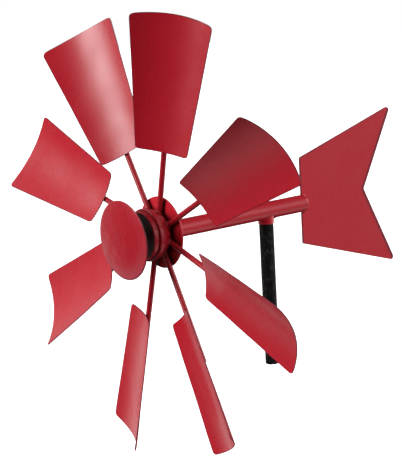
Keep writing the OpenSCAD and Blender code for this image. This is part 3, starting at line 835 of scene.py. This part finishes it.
def collar_fillet():
    """Weld metal between the collar and the boom's underside, deepest on the vane's side."""
    collar_lo, collar_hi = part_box("pivot_collar")
    boom_lo, boom_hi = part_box("boom_tube")
    collar_r, boom_r = (collar_hi.x - collar_lo.x) / 2, (boom_hi.x - boom_lo.x) / 2
    boom_z = (boom_lo.z + boom_hi.z) / 2
    inner = collar_r - 1.0 * MM                   # the ring's inner face, inside the collar
    count = 120
    verts = []
    for k in range(count):
        angle = 2 * math.pi * k / count
        tail = 0.5 + 0.5 * math.sin(angle)        # 1 towards the vane
        along = abs(math.sin(angle))
        lump = (1 + 0.10 * math.sin(k * 1.9) + 0.16 * noise.noise(
            Vector((math.cos(angle) * 2.2, math.sin(angle) * 2.2, 4))))
        width = (0.45 + (4.2 + 4.6 * tail ** 2.2) * along ** 2.2) * MM * lump
        x = min(abs((collar_r + width) * math.cos(angle)), boom_r - 0.15 * MM)
        top = boom_z - math.sqrt(boom_r * boom_r - x * x)
        drop = (2.6 + 1.9 * tail * along) * MM * (0.8 + 0.2 * lump)
        low = max(top - drop, collar_lo.z + 1.0 * MM)
        section = [(inner, low + 0.4 * MM), (collar_r - 0.05 * MM, low)]
        for step in range(1, 8):
            turn = math.radians(90 * step / 8)
            section.append((collar_r + 0.12 * MM + width * (1 - math.cos(turn)),
                            low + (top - low) * math.sin(turn)))
        section += [(collar_r + width + 0.1 * MM, top + 0.15 * MM),
                    (collar_r + width * 0.9, top + 1.0 * MM), (inner, top + 1.0 * MM)]
        verts += [Vector((reach * math.cos(angle), reach * math.sin(angle), z))
                  for reach, z in section]
    size = len(section)
    faces = []
    for k in range(count):
        ring, after = k * size, (k + 1) % count * size
        for step in range(size):
            step2 = (step + 1) % size
            faces.append((ring + step, after + step, after + step2, ring + step2))
    piece = make_closed("collar_fillet", verts, faces, WELD_PAINT)
    enlist(piece, "head", "collar_weld")


collar_fillet()


# ---------------------------------------------------------------- welds at the boom's end

boom_low, boom_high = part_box("boom_tube")
BOOM_R, BOOM_Z = (boom_high.x - boom_low.x) / 2, (boom_low.z + boom_high.z) / 2
BOOM_END = boom_high.y
CAP_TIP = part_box("boom_end_weld")[1].y
CAP_POWER = 0.85                                  # below 1 makes the dome fuller than a ball


def lump_cap(radius, distance, angle):
    point = Vector((radius * math.cos(angle), radius * math.sin(angle), distance)) * 1000
    if distance > BOOM_END:
        distance += 0.35 * noise.noise(point * 0.25) * MM - 0.2 * MM
        radius += 0.15 * noise.noise(point * 0.4 + Vector((9, 9, 9))) * MM - 0.1 * MM
    return max(radius, 0.0), distance


def boom_cap():
    """The domed weld that closes the tube."""
    profile = [(0.0, BOOM_END - 6 * MM), (BOOM_R - 2.5 * MM, BOOM_END - 6 * MM),
               (BOOM_R - 1.2 * MM, BOOM_END - 0.6 * MM),
               (BOOM_R - 0.05 * MM, BOOM_END - 0.2 * MM)]
    for k in range(1, 14):
        angle = math.radians(90 * k / 14)
        profile.append(((BOOM_R + 0.05 * MM) * math.cos(angle) ** CAP_POWER,
                        BOOM_END + (CAP_TIP - BOOM_END) * math.sin(angle)))
    profile.append((0.0, CAP_TIP))
    piece = lathe("boom_cap", profile, CAP_PAINT, segments=72, origin=Vector((0, 0, BOOM_Z)),
                  axis="y", wobble=lump_cap)
    enlist(piece, "head", "boom_end_weld")


def vane_weld():
    """The runs that join the tube and its cap to the vane, one on each side of the vane."""
    vane_lo, vane_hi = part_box("tail_vane")
    start, line = vane_lo.y + 0.6 * MM, BOOM_R + 0.1 * MM
    # (height over the boom's axis, y): along the top, round the cap, back along the bottom
    curve = [(line, start), (line, BOOM_END - 1.0 * MM)]
    for k in range(1, 30):
        angle = math.radians(-90 + 180 * k / 30)
        bulge = math.copysign(abs(math.sin(angle)) ** CAP_POWER, -math.sin(angle))
        curve.append(((BOOM_R - 0.2 * MM) * bulge,
                      BOOM_END + (CAP_TIP - BOOM_END - 0.4 * MM) * math.cos(angle)))
    curve += [(-line, BOOM_END - 1.0 * MM), (-line, start)]
    verts, faces = [], []
    for side in (-1, 1):
        x = side * ((vane_hi.x - vane_lo.x) / 2 + 0.3 * MM)
        up = Vector((side, 0.35, 0))
        points = [Vector((x, y, BOOM_Z + height)) for height, y in curve]
        path = []
        for point, after in zip(points, points[1:]):
            steps = max(1, int((after - point).length / (0.7 * MM)))
            path += [(point.lerp(after, step / steps), up) for step in range(steps)]
        path.append((points[-1], up))
        add_bead(verts, faces, path, 1.9 * MM, seed=3.0 * side, flat=0.75, sides=12)
    piece = make_closed("vane_weld", verts, faces, CAP_PAINT)
    enlist(piece, "head")


boom_cap()
vane_weld()


# ---------------------------------------------------------------- finishes on the CAD pieces

# piece, material, then the width in mm and the segments of its rounded edges where it has them
FINISHES = (
    ("hub_barrel", HUB_PAINT),
    ("hub_mouth_ring", HUB_PAINT),
    ("hub_back_plate", PLATE_PAINT),
    ("dust_seal", SEAL_RUBBER),
    ("nose_nut", HUB_PAINT, 0.5),
    ("axle_nut", TURNED_STEEL, 0.4),
    ("axle_shaft", TURNED_STEEL, 0.6),
    ("axle_washer", TURNED_STEEL, 0.15),
    ("bearing_spacer", TURNED_STEEL, 0.15),
    ("boom_plug", TURNED_STEEL, 0.3),
    ("boom_tube", TUBE_PAINT, 0.3),
    ("tail_vane", VANE_PAINT, 0.55, 3),
    ("pivot_collar", TUBE_PAINT, 0.5, 3),
    ("pivot_bush", BRONZE, 0.2),
    ("retaining_screw", TURNED_STEEL, 0.15),
    ("pivot_spindle", TURNED_STEEL, 0.2),
    ("thrust_washer", SHIELD_RUBBER, 0.15),
)
BEARING_FINISHES = (("outer_race", GROUND_STEEL), ("inner_race", GROUND_STEEL),
                    ("balls", BALL_STEEL), ("cage", BRONZE), ("shields", SHIELD_RUBBER))

for entry in FINISHES:
    finish(*entry)
for place in ("front", "rear"):
    for part, material in BEARING_FINISHES:
        finish("%s_bearing_%s" % (place, part), material)


# ---------------------------------------------------------------- stage, light and camera

FLOOR_DROP, FLOOR_R, FLOOR_SIDES = 0.30, 9.0, 48
FLOOR_GLOW = 0.75                                 # seen by the camera only


def pale_floor():
    """Near-white floor, glowing to the camera and clear from below."""
    tree = Tree("pale_floor")
    backfacing = tree.node("ShaderNodeNewGeometry").outputs["Backfacing"]
    camera_ray = tree.node("ShaderNodeLightPath").outputs["Is Camera Ray"]
    soft = tree.noise(scale=0.7, detail=2.0)
    color = tree.mix(soft, rgb(0.86, 0.86, 0.86), rgb(0.90, 0.90, 0.90))
    diffuse = tree.node("ShaderNodeBsdfDiffuse", {"Color": color})
    glow = tree.node("ShaderNodeEmission", {
        "Color": rgb(1, 1, 1), "Strength": tree.times(camera_ray, FLOOR_GLOW)})
    lit = tree.node("ShaderNodeAddShader", {0: diffuse.outputs[0], 1: glow.outputs[0]})
    clear = tree.node("ShaderNodeBsdfTransparent")
    return tree.surface(tree.node("ShaderNodeMixShader", {
        0: backfacing, 1: lit.outputs[0], 2: clear.outputs[0]}))


def stage():
    material = pale_floor()
    z = cad_lo.z - FLOOR_DROP
    verts, faces = [Vector((0, 0, z))], []
    for k in range(FLOOR_SIDES):
        angle = 2 * math.pi * k / FLOOR_SIDES
        verts.append(Vector((FLOOR_R * math.cos(angle), FLOOR_R * math.sin(angle), z)))
        faces.append((0, k + 1, (k + 1) % FLOOR_SIDES + 1))
    floor = make("floor", verts, faces, material, smooth=False)
    # the lights that stand for the floor's bounce come from below it
    floor.visible_diffuse = floor.visible_glossy = floor.visible_shadow = False


stage()

# Soft lights round the object, as a photographer's boxes and reflectors would stand:
# azimuth (0 in front of the wheel, 90 on the +X side), elevation, tightness (60 is about a
# 9 degree half width, 17 about 16 degrees), strength.
SOFT_LIGHTS = (
    ("key_top", -24, 28, 60, 11.8),
    ("key_middle", -15, 23, 60, 7.3),
    ("key_left", -24, 19, 60, 5.2),
    ("key_low", -15, 4, 60, 4.8),
    ("key_right", -6, 28, 60, 3.6),
    ("key_edge", -33, 15, 60, 3.1),
    ("front_top", -7, 39, 17, 1.1),
    ("back_box", 170, 13, 17, 6.0),
    ("back_low", 158, -5, 17, 1.0),
    ("side_box", 98, 29, 17, 3.6),
    ("side_wrap", 118, 17, 17, 1.6),
    ("left_box", -92, 36, 17, 2.5),
    ("left_card", -87, -19, 17, 1.1),
    ("floor_right", 133, -45, 17, 1.25),
    ("floor_front", -37, -53, 17, 0.7),
)


def direction(azimuth, elevation):
    """Unit vector towards an azimuth and elevation in radians."""
    return Vector((math.sin(azimuth) * math.cos(elevation),
                   -math.cos(azimuth) * math.cos(elevation), math.sin(elevation)))


def studio_world():
    """A dark room with soft lights at a distance; the camera itself sees plain white."""
    world = bpy.data.worlds.new("studio")
    bpy.context.scene.world = world
    tree = Nodes(world)
    generated = tree.node("ShaderNodeTexCoord").outputs["Generated"]
    aim = tree.node("ShaderNodeVectorMath", {0: generated}, operation="NORMALIZE").outputs[0]
    total = 0.0
    for name, azimuth, elevation, tight, strength in SOFT_LIGHTS:
        toward = direction(math.radians(azimuth), math.radians(elevation))
        dot = tree.vector("DOT_PRODUCT", aim, toward)
        dot.label = name
        fall = tree.node("ShaderNodeMath", {0: dot.outputs["Value"], 1: tight, 2: -tight},
                         operation="MULTIPLY_ADD")
        lobe = tree.node("ShaderNodeMath", {0: fall.outputs[0]}, operation="EXPONENT")
        total = tree.node("ShaderNodeMath", {0: lobe.outputs[0], 1: strength, 2: total},
                          operation="MULTIPLY_ADD").outputs[0]
    light, white = (tree.node("ShaderNodeBackground", {"Color": (1, 1, 1, 1), "Strength": power})
                    for power in (total, 1.0))
    camera_ray = tree.node("ShaderNodeLightPath").outputs["Is Camera Ray"]
    pick = tree.node("ShaderNodeMixShader", {
        0: camera_ray, 1: light.outputs[0], 2: white.outputs[0]})
    tree.node("ShaderNodeOutputWorld", {0: pick.outputs[0]})


studio_world()

SENSOR_MM, LENS_MM = 36.0, 140.201459
CAMERA_AZIMUTH, CAMERA_ELEVATION, CAMERA_ROLL = 52.573, 11.444, -3.126
# where the camera stands from the hub: to its own right, down and back
CAMERA_RIGHT, CAMERA_DOWN, CAMERA_BACK = 0.06035, 0.000359, 2.529033


def add_camera():
    data = bpy.data.cameras.new("camera")
    data.sensor_width = SENSOR_MM
    data.lens = LENS_MM
    data.clip_start, data.clip_end = 0.05, 60.0
    camera = bpy.data.objects.new("camera", data)
    bpy.context.scene.collection.objects.link(camera)
    azimuth, roll = math.radians(CAMERA_AZIMUTH), math.radians(CAMERA_ROLL)
    back = direction(azimuth, math.radians(CAMERA_ELEVATION))
    level_right = Vector((math.cos(azimuth), math.sin(azimuth), 0))
    level_up = back.cross(level_right)
    right = level_right * math.cos(roll) + level_up * math.sin(roll)
    up = -level_right * math.sin(roll) + level_up * math.cos(roll)
    place = HUB + right * CAMERA_RIGHT - up * CAMERA_DOWN + back * CAMERA_BACK
    turn = Matrix((right, up, back)).transposed().to_4x4()
    camera.matrix_world = Matrix.Translation(place) @ turn
    bpy.context.scene.camera = camera


add_camera()

bpy.context.scene.view_settings.view_transform = "Standard"
bpy.context.scene.view_settings.look = "None"
